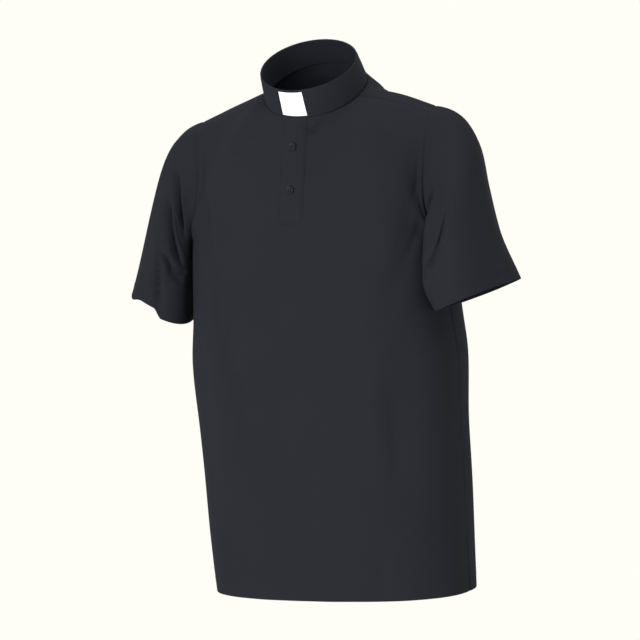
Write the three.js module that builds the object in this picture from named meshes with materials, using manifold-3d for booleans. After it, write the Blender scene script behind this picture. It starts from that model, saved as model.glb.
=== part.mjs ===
// A short-sleeved clerical polo shirt, worn and hollow: front, back, two sleeves, a stand collar with a white tab,
// a two-strip placket and its two buttons. Millimetres, +Z up; the wearer faces -Y and their left side is +X.
// The origin is the middle of the neck hole, level with the shoulder seams, where the wearer holds the shirt up.
import * as THREE from "three";
import Module from "manifold-3d";
import { mergeVertices } from "three/addons/utils/BufferGeometryUtils.js";

// Cloth
const CLOTH_WALL = 1.4;
const HEM_WALL = 2.2; // the turned hem is two layers
const BODY_HEM_DEPTH = 22;
const CUFF_HEM_DEPTH = 16;
const HEM_STEP = 5; // height over which the hem thins to one layer
const SEAM_GAP = 0.3; // between pieces that are sewn together
const HALF_GAP = SEAM_GAP / 2;
const COLLAR_LIFT = 0.45; // of the collar's lower edge off the neck hole, where the two slant across each other

// Neck hole: a tilted oval that drops to the front
const NECK_HALF_WIDTH = 76;
const NECK_FRONT_Y = -73;
const NECK_BACK_Y = 76;
const NECK_SIDE_Z = -4;
const NECK_TILT = 38; // half the rise from the front of the loop to its back
const NECK_ROLL = 6; // how far the wearer's left side of the loop lies below its middle
const SEAM_ANGLE = THREE.MathUtils.degToRad(80); // where the shoulder seam meets the neck hole, from the front

// Stand collar
const COLLAR_WALL = 2.4;
const COLLAR_HEIGHT = 40;
const COLLAR_TOP_X = -2; // the top edge is shifted a little toward the wearer's right
const COLLAR_TOP_HALF_WIDTH = 73;
const COLLAR_TOP_FRONT_Y = -82;
const COLLAR_TOP_BACK_Y = 54;

// White tab in the front of the collar
const TAB_WIDTH = 39;
const TAB_TOP_STRIP = 2.6; // collar left above the tab
const TAB_BOTTOM_STRIP = 2.2; // and below it
const TAB_WALL = 1.2;
const TAB_RECESS = 0.7;

// Shoulder and armhole
// Each shoulder: how far its seam bows up, and how steeply and how far out the back rises behind it
const SHOULDERS = {
  left: { crest: 4, rise: 165, out: 190 },
  right: { crest: 0, rise: 70, out: 150 },
};
const SHOULDER_LIFT = 3; // the wearer's left shoulder is raised by this and the right one lowered
const UNDERARM_Z = -232;

// Armhole edges from the shoulder point down to the underarm, on the wearer's left
const ARMHOLE = [
  { drop: 0.0, x: 194, frontY: -18, frontZ: -49, backY: -18, backZ: -49 },
  { drop: 0.1, x: 193, frontY: -26, frontZ: -57, backY: 4, backZ: -41 },
  { drop: 0.28, x: 189, frontY: -32, frontZ: -85, backY: 33, backZ: -72 },
  { drop: 0.5, x: 187, frontY: -42, frontZ: -130, backY: 44, backZ: -124 },
  { drop: 0.72, x: 190, frontY: -51, frontZ: -176, backY: 46, backZ: -174 },
  { drop: 0.88, x: 197, frontY: -43, frontZ: -212, backY: 30, backZ: -212 },
  { drop: 1.0, x: 201, frontY: -12, frontZ: UNDERARM_Z, backY: -12, backZ: UNDERARM_Z },
];

// Torso sections from the hem up: side seam, middle of the front, middle of the back, and how square the section is
const TORSO = [
  { z: -745, halfWidth: 203, sideY: -10, frontY: -118, backY: 96, square: 2.5 },
  { z: -640, halfWidth: 206, sideY: -12, frontY: -124, backY: 96, square: 2.6 },
  { z: -500, halfWidth: 210, sideY: -14, frontY: -128, backY: 92, square: 2.7 },
  { z: -400, halfWidth: 211, sideY: -14, frontY: -129, backY: 97, square: 2.9 },
  { z: -330, halfWidth: 203, sideY: -14, frontY: -128, backY: 101, square: 3.0 },
  { z: -232, halfWidth: 199, sideY: -12, frontY: -116, backY: 106, square: 2.9 },
];
const TORSO_Y = -12; // the middle of the torso sections
const TORSO_HALF_DEPTH = 112;

// Sleeve of the wearer's left arm; the right one is the same on the other side
const CUFF_Y = -40;
const CUFF_HALF_WIDTH = 50;
const CUFF_HALF_DEPTH = 70;
const CUFF_SQUARE = 2.7;
const CUFF_TURN = THREE.MathUtils.degToRad(18); // the flat arm opening turns its front toward the body
const SLEEVE_GIRTH = 400; // round the arm, for placing folds
const SLEEVE_LENGTH = 260; // down the arm, for placing folds

// Each sleeve: middle of its cuff, how far the outer side of the cuff is raised, how strongly the cap leaves
// the shoulder, how straight it reaches the cuff, and how far the front of the cuff sags
const SLEEVES = [
  {
    name: "sleeve_left", side: 1, cuffX: 261, cuffZ: -309, cuffTilt: 19, cuffLean: 2, frontSag: 0, outerRise: 0,
    cap: 303, capDrop: 40, reach: 430, armTilt: 23,
  },
  {
    name: "sleeve_right", side: -1, cuffX: 259, cuffZ: -310, cuffTilt: 30, cuffLean: 0, frontSag: 2, outerRise: 12,
    cap: 241, capDrop: 35, reach: 425, armTilt: 23.7,
  },
];

// Placket and buttons
const PLACKET_WIDTH = 40;
const PLACKET_END_Z = -194;
const PLACKET_WALL = 1.5;
const SLOT_WIDTH = 34; // cut out of the front between the two strips
const SLOT_END_Z = -184;
const BUTTON_DIAMETER = 11.5;
const BUTTON_THICKNESS = 2.4;
const BUTTON_DISH = 0.7;
const BUTTON_RIM = 1.4;
const BUTTON_HOLE_DIAMETER = 1.8;
const BUTTON_HOLE_SPREAD = 1.6; // from the middle to a hole, along each axis
const BUTTONS = [
  { name: "button_1", z: -84 },
  { name: "button_2", z: -146 },
];

// Largest folds of the torso: soft troughs from one end to the other, seen from the front or the back
const TORSO_FOLDS = [
  { back: false, x1: -186, z1: -90, x2: -138, z2: -245, bow: 8, width: 17, depth: 5 },
  { back: false, x1: -136, z1: -225, x2: -88, z2: -510, bow: -5, width: 20, depth: 5 },
  { back: false, x1: -182, z1: -300, x2: -168, z2: -640, bow: -6, width: 24, depth: 4 },
  { back: false, x1: 182, z1: -110, x2: 150, z2: -330, bow: -8, width: 15, depth: 4 },
  { back: false, x1: 96, z1: -400, x2: 92, z2: -590, bow: 4, width: 20, depth: 3 },
  { back: false, x1: 168, z1: -350, x2: 158, z2: -640, bow: 5, width: 24, depth: 5 },
  { back: false, x1: -20, z1: -560, x2: -34, z2: -745, bow: 3, width: 34, depth: 3 },
  { back: false, x1: -52, z1: -44, x2: -118, z2: -76, bow: -4, width: 10, depth: 3 },
  { back: false, x1: 30, z1: -72, x2: 56, z2: -44, bow: -5, width: 8, depth: 3 },
  { back: true, x1: -182, z1: -110, x2: -120, z2: -300, bow: 9, width: 18, depth: 6 },
  { back: true, x1: 184, z1: -120, x2: 128, z2: -290, bow: -9, width: 17, depth: 6 },
  { back: true, x1: -60, z1: -250, x2: -82, z2: -640, bow: 8, width: 26, depth: 7 },
  { back: true, x1: 54, z1: -290, x2: 70, z2: -690, bow: -10, width: 24, depth: 6 },
  { back: true, x1: -4, z1: -420, x2: 6, z2: -745, bow: 5, width: 30, depth: 4 },
  { back: true, x1: 160, z1: -360, x2: 150, z2: -680, bow: 5, width: 22, depth: 5 },
  { back: true, x1: -164, z1: -380, x2: -150, z2: -690, bow: -5, width: 22, depth: 5 },
];

// Largest folds of each sleeve: round is 0 on the outside, 0.25 in front, 0.5 against the body; down is 0 to 1
const SLEEVE_FOLDS = {
  sleeve_left: [
    { round1: 0.33, down1: 0.15, round2: 0.38, down2: 0.98, bow: 0, width: 26, depth: -10 },
    { round1: 0.27, down1: 0.22, round2: 0.41, down2: 0.04, bow: 0, width: 8, depth: 5 },
    { round1: 0.15, down1: 0.52, round2: 0.34, down2: 0.72, bow: 20, width: 10, depth: 4 },
    { round1: 0.78, down1: 0.2, round2: 0.66, down2: 0.62, bow: 12, width: 14, depth: 5 },
    { round1: 0.9, down1: 0.4, round2: 0.86, down2: 0.95, bow: 6, width: 18, depth: 4 },
  ],
  sleeve_right: [
    { round1: 0.12, down1: 0.24, round2: 0.34, down2: 0.35, bow: 0, width: 9, depth: 6 },
    { round1: 0.17, down1: 0.38, round2: 0.36, down2: 0.56, bow: 14, width: 10, depth: 5 },
    { round1: 0.19, down1: 0.7, round2: 0.37, down2: 0.62, bow: 10, width: 7, depth: 4 },
    { round1: 0.2, down1: 0.68, round2: 0.275, down2: 1.0, bow: 0, width: 9, depth: 4 },
    { round1: 0.76, down1: 0.25, round2: 0.65, down2: 0.7, bow: 12, width: 14, depth: 5 },
  ],
};

// Resolution
const FRONT_COLUMNS = 36;
const BACK_COLUMNS = 32;
const LOWER_ROWS = 15; // of either panel, below the underarm
const UPPER_ROWS = 18; // and above it
const SLEEVE_COLUMNS = 2 * UPPER_ROWS; // so that its corners meet those of the panels
const SLEEVE_ROWS = 14;
const COLLAR_ROWS = 3;
const STRIP_COLUMNS = 4;
const STRIP_ROWS = 15;
const TAB_COLUMNS = 6;
const TAB_ROWS = 3;
const BUTTON_SEGMENTS = 24;
const HOLE_SEGMENTS = 8;
const PANEL_ROWS = LOWER_ROWS + UPPER_ROWS;
const TORSO_SHARE = LOWER_ROWS / PANEL_ROWS;
const CORNER_SOFTNESS = 0.2; // how far the rounding below that corner reaches, as a part of those columns
const NECK_SHARE = 0.5; // part of a panel's columns that ends on the neck hole

const wasm = await Module();
wasm.setup();

// Cubic from a to b with the given end slopes.
function hermite(a, b, slopeA, slopeB, t) {
  const t2 = t * t;
  const t3 = t2 * t;
  return (2 * t3 - 3 * t2 + 1) * a + (t3 - 2 * t2 + t) * slopeA + (3 * t2 - 2 * t3) * b + (t3 - t2) * slopeB;
}

function hermiteVector(a, b, slopeA, slopeB, t) {
  return new THREE.Vector3(
    hermite(a.x, b.x, slopeA.x, slopeB.x, t),
    hermite(a.y, b.y, slopeA.y, slopeB.y, t),
    hermite(a.z, b.z, slopeA.z, slopeB.z, t),
  );
}

// Smooth value of one column of a table whose rows ascend in the column called key.
function column(rows, key, name, at) {
  const last = rows.length - 1;
  let i = 0;
  while (i < last - 1 && at > rows[i + 1][key]) i += 1;
  const slope = (k) => {
    const a = rows[Math.max(k - 1, 0)];
    const b = rows[Math.min(k + 1, last)];
    return (b[name] - a[name]) / (b[key] - a[key]);
  };
  const span = rows[i + 1][key] - rows[i][key];
  const t = THREE.MathUtils.clamp((at - rows[i][key]) / span, 0, 1);
  return hermite(rows[i][name], rows[i + 1][name], slope(i) * span, slope(i + 1) * span, t);
}

// Soft step from 0 at from to 1 at to, whichever of the two is larger.
function smooth(from, to, value) {
  const t = THREE.MathUtils.clamp((value - from) / (to - from), 0, 1);
  return t * t * (3 - 2 * t);
}

// Distance from the middle of a rounded square to its edge, relative to its half width.
function squareReach(s, c, square) {
  return Math.pow(Math.pow(Math.abs(s), square) + Math.pow(Math.abs(c), square), -1 / square);
}

// Depth of one fold at a place: a soft trough round a bowed line that fades at both ends.
function foldDepth(x1, y1, x2, y2, fold, x, y) {
  const length = Math.hypot(x2 - x1, y2 - y1);
  const dirX = (x2 - x1) / length;
  const dirY = (y2 - y1) / length;
  const along = ((x - x1) * dirX + (y - y1) * dirY) / length;
  const beside = (x - x1) * dirY - (y - y1) * dirX;
  const t = THREE.MathUtils.clamp(along, 0, 1);
  const offset = beside - fold.bow * 4 * t * (1 - t);
  const fade = smooth(-0.05, 0.3, along) * smooth(1.05, 0.7, along);
  return fold.depth * Math.exp(-Math.pow(offset / fold.width, 2)) * fade;
}

// Point of the neck hole at an angle from the middle of the front, positive toward the wearer's left.
function neckPoint(angle) {
  const middleY = (NECK_FRONT_Y + NECK_BACK_Y) / 2;
  const c = Math.cos(angle);
  return new THREE.Vector3(
    NECK_HALF_WIDTH * Math.sin(angle),
    middleY - (middleY - NECK_FRONT_Y) * c,
    NECK_SIDE_Z - NECK_TILT * c - NECK_ROLL * Math.sin(angle),
  );
}

// Point of a torso section: turn runs from -1 at the right seam through 0 in the middle to 1 at the left seam.
function sectionPoint(z, turn, back) {
  const halfWidth = column(TORSO, "z", "halfWidth", z);
  const sideY = column(TORSO, "z", "sideY", z);
  const middleY = column(TORSO, "z", back ? "backY" : "frontY", z);
  const angle = (turn * Math.PI) / 2;
  const s = Math.sin(angle);
  const c = Math.cos(angle);
  const reach = squareReach(s, c, column(TORSO, "z", "square", z));
  return new THREE.Vector3(halfWidth * s * reach, sideY + (middleY - sideY) * c * reach, z);
}

// Point of the armhole edge: climb runs from 0 at the underarm to 1 at the shoulder; side is 1 on the left.
function armholePoint(climb, side, back) {
  const drop = 1 - climb;
  return new THREE.Vector3(
    side * column(ARMHOLE, "drop", "x", drop),
    column(ARMHOLE, "drop", back ? "backY" : "frontY", drop),
    column(ARMHOLE, "drop", back ? "backZ" : "frontZ", drop) + side * SHOULDER_LIFT * climb,
  );
}

// Point of a panel's top edge: shoulder seam, neck hole, shoulder seam.
function shoulder(side) {
  return side < 0 ? SHOULDERS.right : SHOULDERS.left;
}

function topPoint(turn, back) {
  const side = Math.sign(turn) || 1;
  const along = Math.abs(turn);
  if (along <= NECK_SHARE) {
    const open = (along / NECK_SHARE) * (back ? Math.PI - SEAM_ANGLE : SEAM_ANGLE);
    return neckPoint(side * (back ? Math.PI - open : open));
  }
  const t = (along - NECK_SHARE) / (1 - NECK_SHARE);
  const point = neckPoint(side * SEAM_ANGLE).lerp(armholePoint(1, side, back), t);
  point.z += shoulder(side).crest * Math.sin(Math.PI * t);
  return point;
}

// How a panel leaves its top edge, going down: nearly level over the shoulder, sloping at the neck hole.
function topSlope(turn, back) {
  const atSeam = smooth(0.1, NECK_SHARE, Math.abs(turn));
  const toPoint = smooth(NECK_SHARE, 1, Math.abs(turn));
  const behind = shoulder(turn);
  const seamDrop = back ? THREE.MathUtils.lerp(-behind.rise, -20, toPoint) : 40;
  const out = THREE.MathUtils.lerp(back ? 62 : 40, back ? behind.out : 150, atSeam);
  const drop = THREE.MathUtils.lerp(back ? 150 : 185, seamDrop, atSeam);
  const sideways = 100 * smooth(0, NECK_SHARE, Math.abs(turn)) * smooth(0.95, NECK_SHARE, Math.abs(turn));
  return new THREE.Vector3(Math.sign(turn) * sideways, back ? out : -out, -drop - 0.25 * sideways);
}

// Point of the front or back without folds: height runs from 0 at the hem to 1 at the top edge.
// The top edge as the cloth below feels it: the corner where the neck meets the shoulder seam is rounded
function softTop(turn, climb, back) {
  const near = smooth(0.2, 0.45, Math.abs(turn)) * smooth(0.95, 0.6, Math.abs(turn));
  const reach = CORNER_SOFTNESS * smooth(1, 0.6, climb) * near;
  const point = new THREE.Vector3();
  for (let k = -3; k <= 3; k++) {
    point.addScaledVector(topPoint(turn + (reach * k) / 3, back), 1 / 7);
  }
  return point;
}

function panelBase(turn, height, back) {
  if (height <= TORSO_SHARE) {
    return sectionPoint(THREE.MathUtils.lerp(TORSO[0].z, UNDERARM_Z, height / TORSO_SHARE), turn, back);
  }
  const climb = (height - TORSO_SHARE) / (1 - TORSO_SHARE);
  const blend = (at) => {
    const low = sectionPoint(UNDERARM_Z, at, back);
    const rise = sectionPoint(UNDERARM_Z - 1, at, back).sub(low).multiplyScalar(-150);
    return hermiteVector(low, softTop(at, climb, back), rise, topSlope(at, back).negate(), climb);
  };
  const side = Math.sign(turn) || 1;
  const edge = armholePoint(climb, side, back).sub(blend(side));
  const reach = THREE.MathUtils.lerp(0.7, 0.3, smooth(0, 0.4, climb));
  return blend(turn).addScaledVector(edge, Math.pow(smooth(reach, 1, Math.abs(turn)), 1.4));
}

// Point of the front or back with its largest folds pressed in, level, toward the middle of the torso.
function panelPoint(turn, height, back) {
  const point = panelBase(turn, height, back);
  let depth = 0;
  for (const fold of TORSO_FOLDS) {
    if (fold.back !== back) continue;
    depth += foldDepth(fold.x1, fold.z1, fold.x2, fold.z2, fold, point.x, point.z);
  }
  depth *= smooth(1, 0.93, Math.abs(turn)) * smooth(1, 0.94, height);
  const halfWidth = TORSO[0].halfWidth;
  const inward = new THREE.Vector3(-point.x / halfWidth ** 2, (TORSO_Y - point.y) / TORSO_HALF_DEPTH ** 2, 0);
  return point.addScaledVector(inward.normalize(), depth);
}

function frontPoint(turn, height) {
  return panelPoint(turn, height, false);
}

function backPoint(turn, height) {
  return panelPoint(turn, height, true);
}

// Point of the armhole loop: 0 at the shoulder, down the front to 0.5 at the underarm, and up the back to 1.
function armholeLoop(round, side) {
  const back = round > 0.5;
  const point = armholePoint(back ? 2 * round - 1 : 1 - 2 * round, side, back);
  return new THREE.Vector3(side * point.x, point.y, point.z);
}

// Point of a sleeve as on the left side: round as in the armhole loop, down from 0 at the armhole to 1 at the cuff.
function sleevePoint(row, round, down) {
  const turn = ((round % 1) + 1) % 1;
  const angle = 2 * Math.PI * turn;
  const c = Math.cos(angle);
  const s = Math.sin(angle);
  const reach = squareReach(s, c, CUFF_SQUARE);
  const wide = CUFF_HALF_WIDTH * c * reach;
  const deep = CUFF_HALF_DEPTH * s * reach;
  const tilt = THREE.MathUtils.degToRad(row.cuffTilt);
  const outward = new THREE.Vector3(Math.cos(tilt), 0, Math.sin(tilt));
  const cuffY = CUFF_Y - deep * Math.cos(CUFF_TURN) - wide * Math.sin(CUFF_TURN);
  const cuff = new THREE.Vector3(row.cuffX, cuffY, row.cuffZ);
  cuff.addScaledVector(outward, wide * Math.cos(CUFF_TURN) - deep * Math.sin(CUFF_TURN));
  cuff.z -= (row.cuffLean * deep) / CUFF_HALF_DEPTH;
  cuff.z -= row.frontSag * smooth(0.12, 0.3, turn) * smooth(0.62, 0.44, turn);
  cuff.z += row.outerRise * smooth(0.1, 0.19, turn) * smooth(0.285, 0.255, turn);
  const top = (1 + c) / 2;
  const leave = new THREE.Vector3(
    THREE.MathUtils.lerp(34, row.cap, Math.pow(top, 1.2)),
    -40 * s * (1 - Math.abs(c)),
    -THREE.MathUtils.lerp(90, row.capDrop, top),
  );
  const armTilt = THREE.MathUtils.degToRad(row.armTilt);
  const arrive = new THREE.Vector3(Math.sin(armTilt), 0, -Math.cos(armTilt));
  arrive.multiplyScalar(THREE.MathUtils.lerp(100, row.reach, top));
  const point = hermiteVector(armholeLoop(turn, row.side), cuff, leave, arrive, down);
  let depth = 0;
  for (const fold of SLEEVE_FOLDS[row.name]) {
    const x1 = fold.round1 * SLEEVE_GIRTH;
    const x2 = fold.round2 * SLEEVE_GIRTH;
    const y1 = -fold.down1 * SLEEVE_LENGTH;
    const y2 = -fold.down2 * SLEEVE_LENGTH;
    depth += foldDepth(x1, y1, x2, y2, fold, turn * SLEEVE_GIRTH, -down * SLEEVE_LENGTH);
  }
  const inward = new THREE.Vector3(-c, s, 0).normalize();
  return point.addScaledVector(inward, depth * smooth(0, 0.12, down));
}

// Point of the stand collar: angle as in the neck hole, up from 0 at the seam to 1 at the top edge.
function collarPoint(angle, up) {
  const base = neckPoint(angle);
  const middleY = (COLLAR_TOP_FRONT_Y + COLLAR_TOP_BACK_Y) / 2;
  const topX = COLLAR_TOP_X + COLLAR_TOP_HALF_WIDTH * Math.sin(angle);
  const topY = middleY - (middleY - COLLAR_TOP_FRONT_Y) * Math.cos(angle);
  const lean = Math.hypot(topX - base.x, topY - base.y);
  const topZ = base.z + Math.sqrt(COLLAR_HEIGHT * COLLAR_HEIGHT - lean * lean);
  return base.lerp(new THREE.Vector3(topX, topY, topZ), up);
}

// Outward unit normal of a surface, from points just beside the one asked for.
function normalAt(point, a, b) {
  const step = 1e-3;
  const alongA = point(a + step, b).sub(point(a - step, b));
  const alongB = point(a, Math.min(b + step, 1)).sub(point(a, Math.max(b - step, 0)));
  return alongA.cross(alongB).normalize();
}

// Closed wall on a surface: a grid of outer points and one of inner points, joined round the edges.
// With wrap the first parameter closes on itself; inset is how far the edges it names stay back.
// At a seam the normal function gives the one direction that both pieces share, so their edges stay parallel.
function clothWall({ point, normal, from, to, columns, rows, wall, raise = 0, wrap, flip, inset = {} }) {
  const outward = normal ?? ((a, b) => normalAt(point, a, b).multiplyScalar(flip ? -1 : 1));
  const across = wrap ? columns : columns + 1;
  const speed = (a, b, da, db) => {
    const step = 1e-4;
    return point(a + da * step, b + db * step).distanceTo(point(a, b)) / step;
  };
  const place = (i, j) => {
    let a = THREE.MathUtils.lerp(from[0], to[0], i / columns);
    let b = THREE.MathUtils.lerp(from[1], to[1], j / rows);
    if (i === 0 && inset.sides) a += inset.sides / speed(a, b, 1, 0);
    if (i === columns && inset.sides) a -= inset.sides / speed(a, b, -1, 0);
    if (j === 0 && inset.start) b += inset.start / speed(a, b, 0, 1);
    if (j === rows && inset.end) b -= inset.end / speed(a, b, 0, -1);
    return [a, b];
  };
  const outer = [];
  const inner = [];
  for (let j = 0; j <= rows; j += 1) {
    for (let i = 0; i < across; i += 1) {
      const [a, b] = place(i, j);
      const p = point(a, b);
      const n = outward(a, b);
      outer.push(p.clone().addScaledVector(n, raise));
      inner.push(p.clone().addScaledVector(n, raise - wall(a, b)));
    }
  }
  const at = (grid, i, j) => grid[j * across + (i % across)];
  const positions = [];
  const face = (p, q, r, s) => {
    const corners = flip ? [s, r, q, s, q, p] : [p, q, r, p, r, s];
    for (const corner of corners) positions.push(corner.x, corner.y, corner.z);
  };
  for (let j = 0; j < rows; j += 1) {
    for (let i = 0; i < columns; i += 1) {
      face(at(outer, i, j), at(outer, i + 1, j), at(outer, i + 1, j + 1), at(outer, i, j + 1));
      face(at(inner, i, j + 1), at(inner, i + 1, j + 1), at(inner, i + 1, j), at(inner, i, j));
    }
  }
  for (let i = 0; i < columns; i += 1) {
    face(at(inner, i + 1, 0), at(outer, i + 1, 0), at(outer, i, 0), at(inner, i, 0));
    face(at(outer, i, rows), at(outer, i + 1, rows), at(inner, i + 1, rows), at(inner, i, rows));
  }
  for (let j = 0; j < rows && !wrap; j += 1) {
    face(at(outer, 0, j), at(outer, 0, j + 1), at(inner, 0, j + 1), at(inner, 0, j));
    face(at(inner, columns, j), at(inner, columns, j + 1), at(outer, columns, j + 1), at(outer, columns, j));
  }
  const geometry = new THREE.BufferGeometry();
  geometry.setAttribute("position", new THREE.Float32BufferAttribute(positions, 3));
  return mergeVertices(geometry, 1e-3);
}

// The same geometry on the other side of the body.
function mirrored(geometry) {
  geometry.scale(-1, 1, 1);
  const index = geometry.index.array;
  for (let i = 0; i < index.length; i += 3) [index[i + 1], index[i + 2]] = [index[i + 2], index[i + 1]];
  return geometry;
}

function solidFrom(geometry) {
  const bare = new THREE.BufferGeometry().setAttribute("position", geometry.getAttribute("position"));
  bare.setIndex(geometry.index);
  const merged = mergeVertices(bare, 1e-4);
  const mesh = new wasm.Mesh({
    numProp: 3,
    vertProperties: merged.attributes.position.array,
    triVerts: new Uint32Array(merged.index.array),
  });
  return new wasm.Manifold(mesh);
}

function geometryFrom(solid) {
  const mesh = solid.getMesh();
  const geometry = new THREE.BufferGeometry();
  geometry.setAttribute("position", new THREE.Float32BufferAttribute(mesh.vertProperties, 3));
  geometry.setIndex(Array.from(mesh.triVerts));
  return geometry;
}

// Value in a range at which a rising function reaches a target.
function solve(rising, target, from, to) {
  let low = from;
  let high = to;
  for (let i = 0; i < 30; i += 1) {
    const middle = (low + high) / 2;
    if (rising(middle) < target) low = middle;
    else high = middle;
  }
  return (low + high) / 2;
}

// Height of the front panel's parameter at a level in its middle.
function frontHeight(z) {
  return solve((height) => panelBase(0, height, false).z, z, 0, 1);
}

// Point on the front at a distance from its middle line.
function frontStripPoint(x, height) {
  const turn = solve((at) => panelBase(at, height, false).x, x, -0.5, 0.5);
  return frontPoint(turn, height);
}

// Outward normal of a panel, leaving seams aside.
function panelNormal(turn, height, back) {
  return normalAt(back ? backPoint : frontPoint, turn, height).multiplyScalar(back ? -1 : 1);
}

// Outward normal of a sleeve on its own side of the body.
function sleeveNormal(row, round, down) {
  const normal = normalAt((a, b) => sleevePoint(row, a, b), round, down);
  normal.x *= row.side;
  return normal;
}

// How far two pieces share one direction at their seam: none where it is folded back on itself.
function sharedPart(a, b) {
  return smooth(-0.5, 0.3, a.dot(b));
}

// Direction shared by the pieces that meet at a panel's top edge or armhole; elsewhere the panel's own normal.
function panelEdgeNormal(turn, height, back) {
  const along = Math.abs(turn);
  const own = panelNormal(turn, height, back);
  const normal = own.clone();
  const near = 0.01;
  if (height > 1 - near && along > NECK_SHARE - near) normal.add(panelNormal(turn, height, !back));
  if (height > 1 - near && along < NECK_SHARE + near) {
    const open = (along / NECK_SHARE) * (back ? Math.PI - SEAM_ANGLE : SEAM_ANGLE);
    normal.add(normalAt(collarPoint, (Math.sign(turn) || 1) * (back ? Math.PI - open : open), 0));
  }
  if (height > TORSO_SHARE && along > 1 - near) {
    const climb = (height - TORSO_SHARE) / (1 - TORSO_SHARE);
    const row = SLEEVES.find(({ side }) => side === Math.sign(turn));
    const other = sleeveNormal(row, back ? (1 + climb) / 2 : (1 - climb) / 2, 0);
    normal.addScaledVector(other, sharedPart(own, other));
  }
  return normal.normalize();
}

// The same direction from the collar's side, at an angle round the neck hole.
function neckNormal(angle) {
  const open = Math.abs(Math.atan2(Math.sin(angle), Math.cos(angle)));
  const side = Math.sign(Math.sin(angle)) || 1;
  const back = open > SEAM_ANGLE;
  const share = back ? (Math.PI - open) / (Math.PI - SEAM_ANGLE) : open / SEAM_ANGLE;
  return panelEdgeNormal(side * share * NECK_SHARE, 1, back);
}

// And from the sleeve's side, as on the left, at a place round the armhole.
function armholeNormal(row, round) {
  const back = round > 0.5;
  const climb = back ? 2 * round - 1 : 1 - 2 * round;
  const height = THREE.MathUtils.lerp(TORSO_SHARE, 1, climb);
  const own = sleeveNormal(row, round, 0);
  const shared = sharedPart(own, panelNormal(row.side, height, back));
  const normal = own.lerp(panelEdgeNormal(row.side, height, back), shared).normalize();
  normal.x *= row.side;
  return normal;
}

// A strip of the given width on the front, from a level up to the neck hole.
function frontStrip(width, endZ, raise, wall, inset) {
  return clothWall({
    point: (across, height) => frontStripPoint((across * width) / 2, height),
    from: [-1, frontHeight(endZ)],
    to: [1, 1],
    columns: STRIP_COLUMNS,
    rows: STRIP_ROWS,
    wall: () => wall,
    raise,
    inset,
  });
}

// Wall thickness near a turned hem.
function hemmedWall(fromEdge, hemDepth) {
  return THREE.MathUtils.lerp(HEM_WALL, CLOTH_WALL, smooth(hemDepth, hemDepth + HEM_STEP, fromEdge));
}

function panel(back, columns) {
  const fromHem = (height) => (height / TORSO_SHARE) * (UNDERARM_Z - TORSO[0].z);
  return clothWall({
    point: back ? backPoint : frontPoint,
    normal: (turn, height) => panelEdgeNormal(turn, height, back),
    from: [-1, 0],
    to: [1, 1],
    columns,
    rows: PANEL_ROWS,
    wall: (turn, height) => hemmedWall(fromHem(height), BODY_HEM_DEPTH),
    flip: back,
    inset: { sides: HALF_GAP, end: HALF_GAP },
  });
}

function frontPanel() {
  const cutDepth = 8;
  const slot = frontStrip(SLOT_WIDTH, SLOT_END_Z, cutDepth / 2, cutDepth, {});
  return geometryFrom(solidFrom(panel(false, FRONT_COLUMNS)).subtract(solidFrom(slot)));
}

function sleeve(row) {
  const geometry = clothWall({
    point: (round, down) => sleevePoint(row, round, down),
    normal: (round, down) => {
      if (down < 0.01) return armholeNormal(row, round);
      return normalAt((a, b) => sleevePoint(row, a, b), round, down);
    },
    from: [0, 0],
    to: [1, 1],
    columns: SLEEVE_COLUMNS,
    rows: SLEEVE_ROWS,
    wall: (round, down) => hemmedWall((1 - down) * SLEEVE_LENGTH, CUFF_HEM_DEPTH),
    wrap: true,
    inset: { start: HALF_GAP },
  });
  return row.side > 0 ? geometry : mirrored(geometry);
}

// A piece of the collar round its front, between two distances up from the seam.
function collarFront(width, lowUp, highUp, raise, wall) {
  const halfAngle = width / 2 / -NECK_FRONT_Y;
  return clothWall({
    point: collarPoint,
    from: [-halfAngle, lowUp / COLLAR_HEIGHT],
    to: [halfAngle, highUp / COLLAR_HEIGHT],
    columns: TAB_COLUMNS,
    rows: TAB_ROWS,
    wall: () => wall,
    raise,
  });
}

// Angle round the neck hole of a collar corner, which meets a corner of the front or the back.
function collarAngle(step) {
  const front = (FRONT_COLUMNS * NECK_SHARE) / 2;
  const back = BACK_COLUMNS * NECK_SHARE;
  if (step <= front) return (step / front) * SEAM_ANGLE;
  if (step <= front + back) return SEAM_ANGLE + ((step - front) / back) * 2 * (Math.PI - SEAM_ANGLE);
  return 2 * Math.PI - ((2 * front + back - step) / front) * SEAM_ANGLE;
}

function collarBand() {
  const columns = (FRONT_COLUMNS + BACK_COLUMNS) * NECK_SHARE;
  const point = (step, up) => collarPoint(collarAngle(step), up);
  const band = clothWall({
    point,
    normal: (step, up) => {
      if (up < 0.01) return neckNormal(collarAngle(step));
      return normalAt(collarPoint, collarAngle(step), up);
    },
    from: [0, 0],
    to: [columns, 1],
    columns,
    rows: COLLAR_ROWS,
    wall: () => COLLAR_WALL,
    inset: { sides: HALF_GAP, start: COLLAR_LIFT },
  });
  const cutDepth = 8;
  const top = COLLAR_HEIGHT - TAB_TOP_STRIP + SEAM_GAP;
  const low = TAB_BOTTOM_STRIP - SEAM_GAP;
  const window = collarFront(TAB_WIDTH + 2 * SEAM_GAP, low, top, cutDepth / 2, cutDepth);
  return geometryFrom(solidFrom(band).subtract(solidFrom(window)));
}

function collarTab() {
  return collarFront(TAB_WIDTH, TAB_BOTTOM_STRIP, COLLAR_HEIGHT - TAB_TOP_STRIP, -TAB_RECESS, TAB_WALL);
}

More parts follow.
